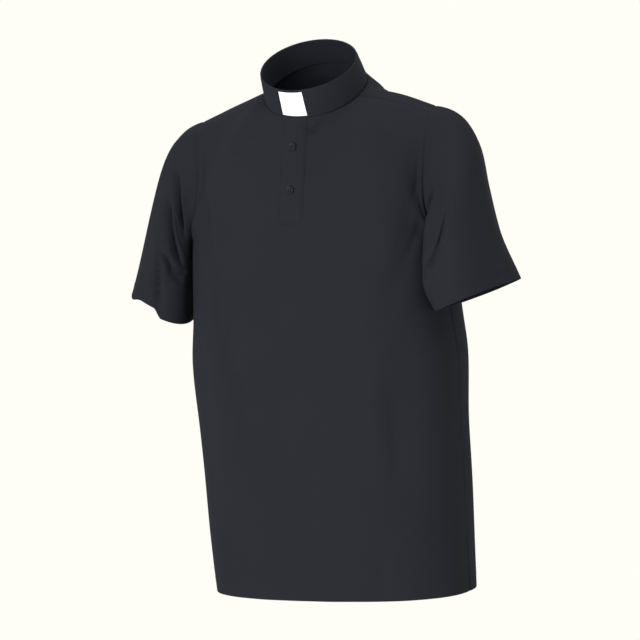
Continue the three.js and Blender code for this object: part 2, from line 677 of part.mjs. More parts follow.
// A button with a rim, a dished middle and four holes, its back on the plane z = 0.
function buttonGeometry() {
  const radius = BUTTON_DIAMETER / 2;
  const edge = 0.5;
  const profile = [
    new THREE.Vector2(0, 0),
    new THREE.Vector2(radius - edge, 0),
    new THREE.Vector2(radius, edge),
    new THREE.Vector2(radius, BUTTON_THICKNESS - edge),
    new THREE.Vector2(radius - edge, BUTTON_THICKNESS),
    new THREE.Vector2(radius - BUTTON_RIM, BUTTON_THICKNESS),
    new THREE.Vector2(radius - BUTTON_RIM - BUTTON_DISH, BUTTON_THICKNESS - BUTTON_DISH),
    new THREE.Vector2(0, BUTTON_THICKNESS - BUTTON_DISH),
  ];
  const disc = new THREE.LatheGeometry(profile, BUTTON_SEGMENTS).rotateX(Math.PI / 2);
  let solid = solidFrom(disc);
  for (const [x, y] of [[1, 1], [1, -1], [-1, 1], [-1, -1]]) {
    const hole = new THREE.CylinderGeometry(
      BUTTON_HOLE_DIAMETER / 2,
      BUTTON_HOLE_DIAMETER / 2,
      3 * BUTTON_THICKNESS,
      HOLE_SEGMENTS,
    );
    hole.rotateX(Math.PI / 2).translate(x * BUTTON_HOLE_SPREAD, y * BUTTON_HOLE_SPREAD, 0);
    solid = solid.subtract(solidFrom(hole));
  }
  return geometryFrom(solid);
}

const navyCloth = new THREE.MeshStandardMaterial({ color: 0x2a2c33, roughness: 0.92, metalness: 0 });
const whitePlastic = new THREE.MeshStandardMaterial({ color: 0xf4f3ee, roughness: 0.5, metalness: 0 });
const darkPlastic = new THREE.MeshStandardMaterial({ color: 0x17181c, roughness: 0.3, metalness: 0 });
const shirt = new THREE.Group();

function addPiece(name, geometry, material) {
  const mesh = new THREE.Mesh(geometry, material);
  mesh.name = name;
  shirt.add(mesh);
  return mesh;
}

// A button lies on the upper strip, turned to face the way the cloth does there.
function addButton({ name, z }) {
  const height = frontHeight(z);
  const normal = normalAt(frontPoint, 0, height);
  const button = addPiece(name, buttonGeometry(), darkPlastic);
  button.quaternion.setFromUnitVectors(new THREE.Vector3(0, 0, 1), normal);
  button.position.copy(frontPoint(0, height)).addScaledVector(normal, 2 * SEAM_GAP + PLACKET_WALL);
}

addPiece("front_panel", frontPanel(), navyCloth);
addPiece("back_panel", panel(true, BACK_COLUMNS), navyCloth);
for (const row of SLEEVES) addPiece(row.name, sleeve(row), navyCloth);
addPiece("collar_band", collarBand(), navyCloth);
addPiece("collar_tab", collarTab(), whitePlastic);
const strip = { end: HALF_GAP };
addPiece(
  "placket_upper",
  frontStrip(PLACKET_WIDTH, PLACKET_END_Z, SEAM_GAP + PLACKET_WALL, PLACKET_WALL, strip),
  navyCloth,
);
addPiece(
  "placket_under",
  frontStrip(PLACKET_WIDTH, PLACKET_END_Z, -CLOTH_WALL - SEAM_GAP, PLACKET_WALL, strip),
  navyCloth,
);
BUTTONS.forEach(addButton);

export default shirt;
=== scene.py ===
# The clerical polo shirt, dressed: thin cloth shells on the solids' own form, with creases, seams, hems,
# stitches, the collar tab and sewn buttons. Sizes are millimetres until a mesh is made. The wearer faces -Y,
# and their left is +X.
import math

import bpy
import numpy as np
from mathutils import Matrix, Vector


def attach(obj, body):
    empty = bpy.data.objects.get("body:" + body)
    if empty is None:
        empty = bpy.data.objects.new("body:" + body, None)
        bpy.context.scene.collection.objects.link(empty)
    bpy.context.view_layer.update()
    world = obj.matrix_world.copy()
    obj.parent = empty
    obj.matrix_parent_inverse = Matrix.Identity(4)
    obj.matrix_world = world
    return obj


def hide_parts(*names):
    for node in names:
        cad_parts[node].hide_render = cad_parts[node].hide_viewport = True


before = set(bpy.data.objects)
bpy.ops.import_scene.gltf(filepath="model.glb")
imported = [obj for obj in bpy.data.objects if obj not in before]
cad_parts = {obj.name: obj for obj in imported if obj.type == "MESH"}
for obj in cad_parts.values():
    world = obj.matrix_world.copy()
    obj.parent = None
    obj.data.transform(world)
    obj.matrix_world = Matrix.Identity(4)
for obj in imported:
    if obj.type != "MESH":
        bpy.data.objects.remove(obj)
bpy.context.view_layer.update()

MM = 0.001

# Camera and picture
PICTURE = 640
CAMERA_AZIMUTH = 27.766
CAMERA_ELEVATION = 0.992
CAMERA_DISTANCE = 4876.3
CAMERA_ASIDE = -16.5
CAMERA_AIM_Z = -344.5
CAMERA_ROLL = 3.806
FOCAL_PIXELS = 3307.8
SENSOR = 36.0
FLOOR_Z, FLOOR_HALF = -5600.0, 30000.0
BACKDROP = (1.0, 0.992, 0.925)

# Sizes shared with the solids
CLOTH_WALL = 1.4
HEM_WALL = 2.2
BODY_HEM_DEPTH = 22.0
CUFF_HEM_DEPTH = 16.0
HEM_STEP = 5.0
NECK_HALF_WIDTH, NECK_FRONT_Y, NECK_BACK_Y = 76.0, -73.0, 76.0
NECK_SIDE_Z, NECK_TILT, NECK_ROLL = -4.0, 38.0, 6.0
SEAM_ANGLE = math.radians(80)
COLLAR_WALL, COLLAR_HEIGHT, COLLAR_LIFT = 2.4, 40.0, 0.3
COLLAR_TOP_X, COLLAR_TOP_HALF_WIDTH = -2.0, 73.0
COLLAR_TOP_FRONT_Y, COLLAR_TOP_BACK_Y = -82.0, 54.0
COLLAR_SWELL = 0.8
TAB_WIDTH, TAB_TOP_STRIP, TAB_BOTTOM_STRIP, TAB_WALL, TAB_RECESS = 39.0, 2.6, 2.2, 1.2, 0.7
SHOULDER_LIFT = 3.0
UNDERARM_Z = -232.0
TORSO_Y, TORSO_HALF_DEPTH = -12.0, 112.0
CUFF_Y, CUFF_HALF_WIDTH, CUFF_HALF_DEPTH, CUFF_SQUARE = -40.0, 50.0, 70.0, 2.7
CUFF_TURN = math.radians(18)
SLEEVE_GIRTH, SLEEVE_LENGTH = 400.0, 260.0
PLACKET_WIDTH, PLACKET_END_Z, PLACKET_WALL, PLACKET_SHOWN = 40.0, -194.0, 1.5, 0.9
SLOT_WIDTH, SLOT_END_Z = 34.0, -184.0
SEAM_GAP, SEAM_ALLOWANCE = 0.3, 1.8
BUTTON_DIAMETER, BUTTON_THICKNESS, BUTTON_DISH, BUTTON_RIM = 11.5, 2.4, 0.7, 1.4
BUTTON_HOLE_DIAMETER, BUTTON_HOLE_SPREAD = 1.8, 1.6
BUTTONS = {"button_1": -84.0, "button_2": -146.0}
TORSO_SHARE = 15 / 27
NECK_SHARE = 0.5
CORNER_SOFTNESS = 0.2

# Rows of stitches: millimetres in from the edge beside them, or heights down the placket
BODY_HEM_FOLD, BODY_HEM_ROWS = 20.0, (18.4, 21.2)
CUFF_HEM_ROWS = (14.6, 17.2)
SHOULDER_ROW = 3.2
COLLAR_TOP_ROW, COLLAR_BASE_ROW = 5.5, 4.5
PLACKET_ROW, PLACKET_END_ROWS_Z, PLACKET_ROW_TOP_Z = 2.8, (-191.0, -176.0), -46.0


def table(names, *rows):
    """Columns of a small table, by name."""
    return {name: np.array([row[i] for row in rows], float) for i, name in enumerate(names.split())}


ARMHOLE = table(
    "drop x frontY frontZ backY backZ",
    (0.0, 194, -18, -49, -18, -49),
    (0.1, 193, -26, -57, 4, -41),
    (0.28, 189, -32, -85, 33, -72),
    (0.5, 187, -42, -130, 44, -124),
    (0.72, 190, -51, -176, 46, -174),
    (0.88, 197, -43, -212, 30, -212),
    (1.0, 201, -12, UNDERARM_Z, -12, UNDERARM_Z),
)

TORSO = table(
    "z halfWidth sideY frontY backY square",
    (-745, 203, -10, -118, 96, 2.5),
    (-640, 206, -12, -124, 96, 2.6),
    (-500, 210, -14, -128, 92, 2.7),
    (-400, 211, -14, -129, 97, 2.9),
    (-330, 203, -14, -128, 101, 3.0),
    (UNDERARM_Z, 199, -12, -116, 106, 2.9),
)

# Each shoulder: how far its seam bows up, and how steeply and how far out the back rises behind it
SHOULDERS = {1: {"crest": 4, "rise": 165, "out": 190}, -1: {"crest": 0, "rise": 70, "out": 150}}

# Each sleeve: side, middle and tilt of the cuff, how it leans, sags in front and rises outside, and how the
# sleeve runs to it
SLEEVES = {
    "sleeve_left": {
        "side": 1, "x": 261, "z": -309, "tilt": 19, "lean": 2, "sag": 0, "rise": 0,
        "cap": 303, "cap_drop": 40, "reach": 430, "arm_tilt": 23,
    },
    "sleeve_right": {
        "side": -1, "x": 259, "z": -310, "tilt": 30, "lean": 0, "sag": 2, "rise": 12,
        "cap": 241, "cap_drop": 35, "reach": 425, "arm_tilt": 23.7,
    },
}

# Folds of the solids: back or front, both ends in X and Z, bow, half width and depth
FOLDS = (
    (0, -186, -90, -138, -245, 8, 17, 5),
    (0, -136, -225, -88, -510, -5, 20, 5),
    (0, -182, -300, -168, -640, -6, 24, 4),
    (0, 182, -110, 150, -330, -8, 15, 4),
    (0, 96, -400, 92, -590, 4, 20, 3),
    (0, 168, -350, 158, -640, 5, 24, 5),
    (0, -20, -560, -34, -745, 3, 34, 3),
    (0, -52, -44, -118, -76, -4, 10, 3),
    (0, 30, -72, 56, -44, -5, 8, 3),
    (1, -182, -110, -120, -300, 9, 18, 6),
    (1, 184, -120, 128, -290, -9, 17, 6),
    (1, -60, -250, -82, -640, 8, 26, 7),
    (1, 54, -290, 70, -690, -10, 24, 6),
    (1, -4, -420, 6, -745, 5, 30, 4),
    (1, 160, -360, 150, -680, 5, 22, 5),
    (1, -164, -380, -150, -690, -5, 22, 5),
)

# Finer creases of the torso, as above; a negative depth is a ridge
CREASES = (
    (0, -190, -66, -150, -186, 2, 5, 3.4),
    (0, -180, -70, -137, -180, 3, 6, -1.6),
    (0, -156, -150, -134, -268, 3, 7, 3.6),
    (0, -144, -160, -118, -262, 2, 8, -1.2),
    (0, -137, -230, -98, -460, 4, 9, 3.8),
    (0, -114, -260, -78, -450, 4, 10, -1.8),
    (0, -99, -410, -88, -580, -2, 10, 2.4),
    (0, -186, -74, -182, -152, 0, 3, 1.8),
    (0, -150, -300, -134, -520, 3, 10, -1.4),
    (0, 147, -420, 142, -580, -2, 8, 2.0),
    (0, 186, -70, 184, -156, -2, 3.2, -1.2),
    (0, 180, -92, 181, -176, -2, 3.5, 1.6),
    (0, 191, -180, 168, -262, -4, 5, 2.4),
    (0, -18, -40, 36, -68, -3, 4, 4.0),
    (0, 20, -70, 74, -30, -3, 4, 4.2),
    (0, 22, -82, 70, -50, -6, 6, -1.6),
    (0, -34, -58, -88, -64, -3, 6, 1.4),
    (0, 84, -420, 64, -600, 4, 12, 1.3),
    (0, -30, -380, -22, -560, 3, 14, 1.1),
    (0, 120, -620, 112, -745, 2, 12, 1.4),
    (0, -128, -600, -140, -745, 2, 13, 1.6),
    (1, -186, -104, -148, -220, 4, 5, 2.6),
    (1, 187, -116, 150, -232, -4, 5, 2.6),
    (1, -150, -190, -108, -390, 5, 8, 2.8),
    (1, 146, -200, 94, -412, -5, 8, 2.8),
    (1, -38, -290, -48, -540, 4, 9, 2.0),
    (1, 30, -350, 44, -620, -4, 10, 1.8),
    (1, 90, -470, 104, -745, 3, 11, 2.0),
    (1, -104, -430, -112, -720, -3, 11, 2.0),
    (1, -46, 10, 40, 12, -3, 8, 1.6),
    (1, -76, -38, 70, -46, 5, 13, 1.8),
    (1, -150, -66, -96, -120, 5, 9, 1.4),
    (1, 150, -60, 104, -128, -5, 9, 1.5),
    (1, 14, -620, 22, -745, 2, 10, 1.4),
)

# Folds of the solids on each sleeve: both ends as part of the way round and down, bow, half width and depth
SLEEVE_FOLDS = {
    "sleeve_left": (
        (0.33, 0.15, 0.38, 0.98, 0, 26, -10),
        (0.27, 0.22, 0.41, 0.04, 0, 8, 5),
        (0.15, 0.52, 0.34, 0.72, 20, 10, 4),
        (0.78, 0.2, 0.66, 0.62, 12, 14, 5),
        (0.9, 0.4, 0.86, 0.95, 6, 18, 4),
    ),
    "sleeve_right": (
        (0.12, 0.24, 0.34, 0.35, 0, 9, 6),
        (0.17, 0.38, 0.36, 0.56, 14, 10, 5),
        (0.19, 0.7, 0.37, 0.62, 10, 7, 4),
        (0.2, 0.68, 0.275, 1.0, 0, 9, 4),
        (0.76, 0.25, 0.65, 0.7, 12, 14, 5),
    ),
}

SLEEVE_CREASES = {
    "sleeve_left": (
        (0.27, 0.24, 0.41, -0.02, 0, 4, 4.6),
        (0.3, 0.34, 0.42, 0.1, 2, 6, -1.8),
        (0.16, 0.56, 0.36, 0.65, 20, 4, 3.4),
        (0.2, 0.52, 0.38, 0.56, 16, 6, -1.6),
        (0.13, 0.74, 0.36, 0.63, 10, 4, 3.0),
        (0.27, 0.7, 0.36, 0.98, 0, 6, 1.6),
        (0.12, 0.3, 0.1, 0.9, 4, 12, 1.4),
        (0.6, 0.26, 0.72, 0.7, 5, 5, 2.6),
        (0.68, 0.16, 0.78, 0.5, -4, 6, 2.0),
        (0.82, 0.1, 0.78, 0.5, 5, 8, 1.6),
        (0.93, 0.5, 0.9, 0.95, 3, 9, 1.4),
    ),
    "sleeve_right": (
        (0.12, 0.27, 0.34, 0.335, -2, 4, 4.6),
        (0.17, 0.4, 0.34, 0.32, 0, 5, -1.8),
        (0.18, 0.4, 0.36, 0.54, 14, 4, 4.6),
        (0.22, 0.36, 0.37, 0.46, 12, 5, -1.8),
        (0.19, 0.73, 0.38, 0.52, 11, 4, 4.4),
        (0.24, 0.62, 0.37, 0.5, 8, 5, -1.6),
        (0.19, 0.7, 0.28, 1.02, 0, 4, 3.0),
        (0.13, 0.6, 0.19, 1.0, 4, 8, 1.8),
        (0.4, 0.5, 0.42, 0.98, 3, 8, 1.8),
        (0.62, 0.26, 0.73, 0.7, 5, 5, 2.6),
        (0.7, 0.14, 0.79, 0.5, -4, 6, 2.0),
        (0.84, 0.12, 0.8, 0.5, 5, 8, 1.6),
        (0.94, 0.5, 0.91, 0.95, 3, 9, 1.4),
    ),
}


def smooth(low, high, value):
    t = np.clip((value - low) / (high - low), 0, 1)
    return t * t * (3 - 2 * t)


def lerp(a, b, t):
    return a + (b - a) * t


def vec(x, y, z):
    return np.stack(np.broadcast_arrays(x, y, z), -1).astype(float)


def unit(v):
    return v / np.maximum(np.linalg.norm(v, axis=-1, keepdims=True), 1e-12)


def hermite(a, b, slope_a, slope_b, t):
    t2, t3 = t * t, t * t * t
    start = (2 * t3 - 3 * t2 + 1) * a + (t3 - 2 * t2 + t) * slope_a
    return start + (3 * t2 - 2 * t3) * b + (t3 - t2) * slope_b


def column(rows, key, name, at):
    """Smooth value of one column where the column called key is at."""
    keys, values = rows[key], rows[name]
    last = len(keys) - 1
    at = np.asarray(at, float)
    low, high = np.maximum(np.arange(last + 1) - 1, 0), np.minimum(np.arange(last + 1) + 1, last)
    slopes = (values[high] - values[low]) / (keys[high] - keys[low])
    i = np.clip(np.searchsorted(keys, at, side="left") - 1, 0, last - 1)
    span = keys[i + 1] - keys[i]
    t = np.clip((at - keys[i]) / span, 0, 1)
    return hermite(values[i], values[i + 1], slopes[i] * span, slopes[i + 1] * span, t)


def square_reach(s, c, square):
    return (np.abs(s) ** square + np.abs(c) ** square) ** (-1 / square)


def fold_depth(x1, y1, x2, y2, bow, width, depth, x, y):
    """Depth of one fold at a place: a soft trough round a bowed line that fades at both ends."""
    length = math.hypot(x2 - x1, y2 - y1)
    dir_x, dir_y = (x2 - x1) / length, (y2 - y1) / length
    along = ((x - x1) * dir_x + (y - y1) * dir_y) / length
    beside = (x - x1) * dir_y - (y - y1) * dir_x
    t = np.clip(along, 0, 1)
    offset = beside - bow * 4 * t * (1 - t)
    return depth * np.exp(-((offset / width) ** 2)) * smooth(-0.05, 0.3, along) * smooth(1.05, 0.7, along)


def ripple(x, y, z):
    """Slight unevenness of hanging cloth, the same wherever two pieces meet."""
    return (
        0.5 * np.sin(x / 31 + z / 83 + 1.3)
        + 0.4 * np.sin(x / 17 - z / 61 + y / 40)
        + 0.35 * np.sin(z / 37 + y / 23 + 0.6)
        + 0.2 * np.sin(x / 9 + z / 29 + 2.1)
    )


def neck_point(angle):
    middle = (NECK_FRONT_Y + NECK_BACK_Y) / 2
    c, s = np.cos(angle), np.sin(angle)
    height = NECK_SIDE_Z - NECK_TILT * c - NECK_ROLL * s
    return vec(NECK_HALF_WIDTH * s, middle - (middle - NECK_FRONT_Y) * c, height)


def section_point(z, turn, back):
    side_y = column(TORSO, "z", "sideY", z)
    middle_y = column(TORSO, "z", "backY" if back else "frontY", z)
    s, c = np.sin(turn * np.pi / 2), np.cos(turn * np.pi / 2)
    reach = square_reach(s, c, column(TORSO, "z", "square", z))
    return vec(column(TORSO, "z", "halfWidth", z) * s * reach, side_y + (middle_y - side_y) * c * reach, z)


def armhole_point(climb, side, back):
    drop = 1 - climb
    return vec(
        side * column(ARMHOLE, "drop", "x", drop),
        column(ARMHOLE, "drop", "backY" if back else "frontY", drop),
        column(ARMHOLE, "drop", "backZ" if back else "frontZ", drop) + side * SHOULDER_LIFT * climb,
    )


def sign(turn):
    return np.where(np.asarray(turn) < 0, -1.0, 1.0)


def shoulder(side, name):
    return np.where(side < 0, SHOULDERS[-1][name], SHOULDERS[1][name])


def top_point(turn, back):
    side, along = sign(turn), np.abs(turn)
    opened = np.minimum(along / NECK_SHARE, 1) * ((np.pi - SEAM_ANGLE) if back else SEAM_ANGLE)
    loop = neck_point(side * (np.pi - opened if back else opened))
    t = np.clip((along - NECK_SHARE) / (1 - NECK_SHARE), 0, 1)[..., None]
    seam = lerp(neck_point(side * SEAM_ANGLE), armhole_point(1.0, side, back), t)
    seam[..., 2] += shoulder(side, "crest") * np.sin(np.pi * t[..., 0])
    return np.where((along <= NECK_SHARE)[..., None], loop, seam)


def top_slope(turn, back):
    along = np.abs(turn)
    at_seam, to_point = smooth(0.1, NECK_SHARE, along), smooth(NECK_SHARE, 1, along)
    seam_drop = lerp(-shoulder(turn, "rise"), -20, to_point) if back else 40.0
    out = lerp(62.0 if back else 40.0, shoulder(turn, "out") if back else 150.0, at_seam)
    drop = lerp(150.0 if back else 185.0, seam_drop, at_seam)
    sideways = 100 * smooth(0, NECK_SHARE, along) * smooth(0.95, NECK_SHARE, along)
    return vec(np.sign(turn) * sideways, out if back else -out, -drop - 0.25 * sideways)


def soft_top(turn, climb, back):
    """The top edge as the cloth below feels it, rounded where the neck meets the shoulder seam."""
    near = smooth(0.2, 0.45, np.abs(turn)) * smooth(0.95, 0.6, np.abs(turn))
    reach = CORNER_SOFTNESS * smooth(1, 0.6, climb) * near
    return sum(top_point(turn + reach * k / 3, back) for k in range(-3, 4)) / 7


def panel_blend(turn, climb, back):
    low = section_point(np.full(np.shape(turn), UNDERARM_Z), turn, back)
    rise = (section_point(np.full(np.shape(turn), UNDERARM_Z - 1), turn, back) - low) * -150
    return hermite(low, soft_top(turn, climb, back), rise, -top_slope(turn, back), climb[..., None])


def panel_base(turn, height, back):
    """Point of the front or back without folds: turn runs from -1 to 1 and height from 0 at the hem to 1."""
    turn, height = np.broadcast_arrays(np.asarray(turn, float), np.asarray(height, float))
    lower = section_point(lerp(TORSO["z"][0], UNDERARM_Z, np.clip(height / TORSO_SHARE, 0, 1)), turn, back)
    climb = np.clip((height - TORSO_SHARE) / (1 - TORSO_SHARE), 0, 1)
    side = sign(turn)
    edge = armhole_point(climb, side, back) - panel_blend(side, climb, back)
    reach = lerp(0.7, 0.3, smooth(0, 0.4, climb))
    upper = panel_blend(turn, climb, back) + edge * (smooth(reach, 1, np.abs(turn)) ** 1.4)[..., None]
    return np.where((height <= TORSO_SHARE)[..., None], lower, upper)


def panel_point(turn, height, back, fine=True):
    """The same with folds and creases pressed in, level, toward the middle of the torso."""
    point = panel_base(turn, height, back)
    x, y, z = point[..., 0], point[..., 1], point[..., 2]
    depth = np.zeros_like(x)
    for row in FOLDS + (CREASES if fine else ()):
        if bool(row[0]) == back:
            depth += fold_depth(*row[1:], x, z)
    depth *= smooth(1, 0.93, np.abs(turn)) * smooth(1, 0.94, height)
    if fine:
        depth += ripple(x, y, z) * smooth(1, 0.97, np.abs(turn)) * smooth(1, 0.97, height)
    half_width = TORSO["halfWidth"][0]
    inward = unit(vec(-x / half_width**2, (TORSO_Y - y) / TORSO_HALF_DEPTH**2, 0))
    return point + inward * depth[..., None]


def sleeve_point(name, turn, down, fine=True):
    """Point of a sleeve as on the left: turn is 0 outside and 0.25 in front, down runs to 1 at the cuff."""
    row = SLEEVES[name]
    turn, down = np.broadcast_arrays(np.mod(np.asarray(turn, float), 1), np.asarray(down, float))
    c, s = np.cos(2 * np.pi * turn), np.sin(2 * np.pi * turn)
    reach = square_reach(s, c, CUFF_SQUARE)
    wide, deep = CUFF_HALF_WIDTH * c * reach, CUFF_HALF_DEPTH * s * reach
    tilt = math.radians(row["tilt"])
    out = wide * math.cos(CUFF_TURN) - deep * math.sin(CUFF_TURN)
    cuff_y = CUFF_Y - deep * math.cos(CUFF_TURN) - wide * math.sin(CUFF_TURN)
    sag = row["lean"] * deep / CUFF_HALF_DEPTH
    sag = sag + row["sag"] * smooth(0.12, 0.3, turn) * smooth(0.62, 0.44, turn)
    rise = row["rise"] * smooth(0.1, 0.19, turn) * smooth(0.285, 0.255, turn)
    cuff = vec(row["x"] + out * math.cos(tilt), cuff_y, row["z"] + out * math.sin(tilt) - sag + rise)
    top = (1 + c) / 2
    leave = vec(lerp(34, row["cap"], top**1.2), -40 * s * (1 - np.abs(c)), -lerp(90, row["cap_drop"], top))
    arm_tilt = math.radians(row["arm_tilt"])
    arrive = np.array([math.sin(arm_tilt), 0, -math.cos(arm_tilt)]) * lerp(100, row["reach"], top)[..., None]
    side = np.full(np.shape(turn), float(row["side"]))
    front = armhole_point(np.clip(1 - 2 * turn, 0, 1), side, False)
    rear = armhole_point(np.clip(2 * turn - 1, 0, 1), side, True)
    loop = np.where((turn > 0.5)[..., None], rear, front) * vec(side, 1, 1)
    point = hermite(loop, cuff, leave, arrive, down[..., None])
    depth = np.zeros_like(c)
    for r1, d1, r2, d2, bow, width, deep_mm in SLEEVE_FOLDS[name] + (SLEEVE_CREASES[name] if fine else ()):
        ends = (r1 * SLEEVE_GIRTH, -d1 * SLEEVE_LENGTH, r2 * SLEEVE_GIRTH, -d2 * SLEEVE_LENGTH)
        depth += fold_depth(*ends, bow, width, deep_mm, turn * SLEEVE_GIRTH, -down * SLEEVE_LENGTH)
    depth *= smooth(0, 0.12, down)
    if fine:
        depth += ripple(point[..., 0], point[..., 1], point[..., 2]) * smooth(0, 0.06, down)
    return point + unit(vec(-c, s, 0)) * depth[..., None]


def collar_point(angle, up):
    angle, up = np.broadcast_arrays(np.asarray(angle, float), np.asarray(up, float))
    base = neck_point(angle)
    middle = (COLLAR_TOP_FRONT_Y + COLLAR_TOP_BACK_Y) / 2
    top_x = COLLAR_TOP_X + COLLAR_TOP_HALF_WIDTH * np.sin(angle)
    top_y = middle - (middle - COLLAR_TOP_FRONT_Y) * np.cos(angle)
    lean = np.hypot(top_x - base[..., 0], top_y - base[..., 1])
    top = vec(top_x, top_y, base[..., 2] + np.sqrt(COLLAR_HEIGHT**2 - lean**2))
    return lerp(base, top, up[..., None])


def spaced(start, end, count, near_start=(), near_end=()):
    """Grid lines, even between the ends, with extra ones close to an edge, where seams and stitches lie."""
    ends = [start + math.copysign(d, end - start) for d in near_start]
    ends += [end - math.copysign(d, end - start) for d in near_end]
    low = max(near_start, default=0)
    high = max(near_end, default=0)
    sense = math.copysign(1, end - start)
    middle = np.linspace(start + sense * low, end - sense * high, count + 1)
    return np.unique(np.concatenate([[start, end], ends, middle]).round(9))


def grid_normals(p, wrap, sense):
    if wrap:
        along = np.roll(p, -1, 1) - np.roll(p, 1, 1)
    else:
        along = np.gradient(p, axis=1)
    return unit(np.cross(along, np.gradient(p, axis=0))) * sense


def mesh_object(name, verts, faces, uvs=None, material=None):
    mesh = bpy.data.meshes.new(name)
    mesh.from_pydata((np.asarray(verts) * MM).tolist(), [], faces)
    if uvs is not None:
        layer = mesh.uv_layers.new(name="cloth")
        index = np.zeros(len(mesh.loops), np.int32)
        mesh.loops.foreach_get("vertex_index", index)
        layer.data.foreach_set("uv", np.asarray(uvs, np.float32)[index].ravel())
    mesh.polygons.foreach_set("use_smooth", np.ones(len(mesh.polygons), bool))
    mesh.set_sharp_from_angle(angle=math.radians(55))
    mesh.validate()
    piece = bpy.data.objects.new(name, mesh)
    bpy.context.scene.collection.objects.link(piece)
    if material is not None:
        mesh.materials.append(material)
    return piece


LIP = 3  # rows that round an edge over


def shell(name, p, wall, material, wrap=False, sense=1, hole=None, normals=None):
    """Closed cloth wall under a grid of outer points p[row, column], with round edges. hole masks cells."""
    rows, cols = p.shape[:2]
    n = grid_normals(p, wrap, sense) if normals is None else normals
    wall = np.broadcast_to(wall, (rows, cols))[..., None]
    inner = p - n * wall
    lips = []
    for edge, before in ((rows - 1, rows - 2), (0, 1)):
        middle, half = (p[edge] + inner[edge]) / 2, wall[edge] / 2
        outward = unit(p[edge] - p[before])
        turns = [math.pi * (k + 1) / (LIP + 1) for k in range(LIP)]
        lips.append([middle + n[edge] * half * math.cos(a) + outward * half * math.sin(a) for a in turns])
    loop = list(p) + lips[0] + list(inner[::-1]) + lips[1][::-1]
    v = np.array(loop)
    across = np.concatenate([[0], np.cumsum(np.linalg.norm(np.diff(p[rows // 2], axis=0), axis=1))])
    updown = np.concatenate([[0], np.cumsum(np.linalg.norm(np.diff(p[:, cols // 2], axis=0), axis=1))])
    rise = np.concatenate([updown, np.full(LIP, updown[-1]), updown[::-1], np.full(LIP, 0)])
    uvs = np.stack(np.broadcast_arrays(across[None, :], rise[:, None]), -1).reshape(-1, 2) * MM
    count = len(v)
    faces = []
    far = cols if wrap else cols - 1
    gap = np.zeros((rows - 1, far), bool) if hole is None else hole
    mirror = {j: rows + LIP + (rows - 1 - j) for j in range(rows)}

    def at(j, i):
        return (j % count) * cols + i % cols

    def order(q):
        return q if sense > 0 else q[::-1]

    for j in range(count):
        if j < rows - 1:
            row = gap[j]
        elif rows + LIP <= j < 2 * rows + LIP - 1:
            row = gap[2 * rows + LIP - 2 - j]
        else:
            row = None
        for i in range(far):
            if row is None or not row[i]:
                faces.append(order((at(j, i), at(j, i + 1), at(j + 1, i + 1), at(j + 1, i))))
    if hole is not None:
        full = ~gap
        for j in range(rows - 1):
            for i in range(far):
                if not full[j, i]:
                    continue
                if i + 1 < far and gap[j, i + 1]:
                    q = (at(j, i + 1), at(mirror[j], i + 1), at(mirror[j + 1], i + 1), at(j + 1, i + 1))
                    faces.append(order(q))
                if i > 0 and gap[j, i - 1]:
                    q = (at(j + 1, i), at(mirror[j + 1], i), at(mirror[j], i), at(j, i))
                    faces.append(order(q))
                if j + 1 < rows - 1 and gap[j + 1, i]:
                    q = (at(j + 1, i + 1), at(mirror[j + 1], i + 1), at(mirror[j + 1], i), at(j + 1, i))
                    faces.append(order(q))
                if j > 0 and gap[j - 1, i]:
                    q = (at(j, i), at(mirror[j], i), at(mirror[j], i + 1), at(j, i + 1))
                    faces.append(order(q))
        if gap[-1].any():
            raise ValueError(f"{name}: a hole may not reach the last row")
    if not wrap:
        for i, turn in ((0, False), (cols - 1, True)):
            for j in range(rows - 1):
                q = (at(j, i), at(j + 1, i), at(mirror[j + 1], i), at(mirror[j], i))
                faces.append(order(q[::-1] if turn else q))
            for ring in (range(rows - 1, rows + LIP + 1), range(2 * rows + LIP - 1, count + 1)):
                q = tuple(at(j, i) for j in ring)
                faces.append(order(q[::-1] if turn else q))
    return mesh_object(name, v.reshape(-1, 3), faces, uvs, material)


def seam_groove(distance, depth=0.9, width=1.3):
    return depth * np.exp(-((distance / width) ** 2))


def hem_wall(distance, hem_depth):
    return lerp(HEM_WALL, CLOTH_WALL, smooth(hem_depth, hem_depth + HEM_STEP, distance))


# Materials
def material(name, colour, roughness, specular):
    made = bpy.data.materials.new(name)
    made.use_nodes = True
    shader = made.node_tree.nodes["Principled BSDF"]
    shader.inputs["Base Color"].default_value = (*colour, 1)
    shader.inputs["Roughness"].default_value = roughness
    shader.inputs["Specular IOR Level"].default_value = specular
    return made, made.node_tree, shader


def node(tree, kind, **inputs):
    made = tree.nodes.new(kind)
    for key, value in inputs.items():
        if hasattr(made, key):
            setattr(made, key, value)
        else:
            made.inputs[key.replace("_", " ")].default_value = value
    return made


def math_node(tree, operation, a, b=None):
    made = tree.nodes.new("ShaderNodeMath")
    made.operation = operation
    for socket, value in zip(made.inputs, (a, b)):
        if value is None:
            continue
        if isinstance(value, (int, float)):
            socket.default_value = value
        else:
            tree.links.new(value, socket)
    return made.outputs[0]


def colour_spread(tree, shader, low, high, scale, detail=3.0, coordinates=None):
    """Colour that drifts between two near tones."""
    noise = node(tree, "ShaderNodeTexNoise", Scale=scale, Detail=detail)
    if coordinates is not None:
        tree.links.new(coordinates, noise.inputs["Vector"])
    mix = tree.nodes.new("ShaderNodeMix")
    mix.data_type = "RGBA"
    mix.inputs[6].default_value = (*low, 1)
    mix.inputs[7].default_value = (*high, 1)
    tree.links.new(noise.outputs["Fac"], mix.inputs[0])
    tree.links.new(mix.outputs[2], shader.inputs["Base Color"])
    return noise


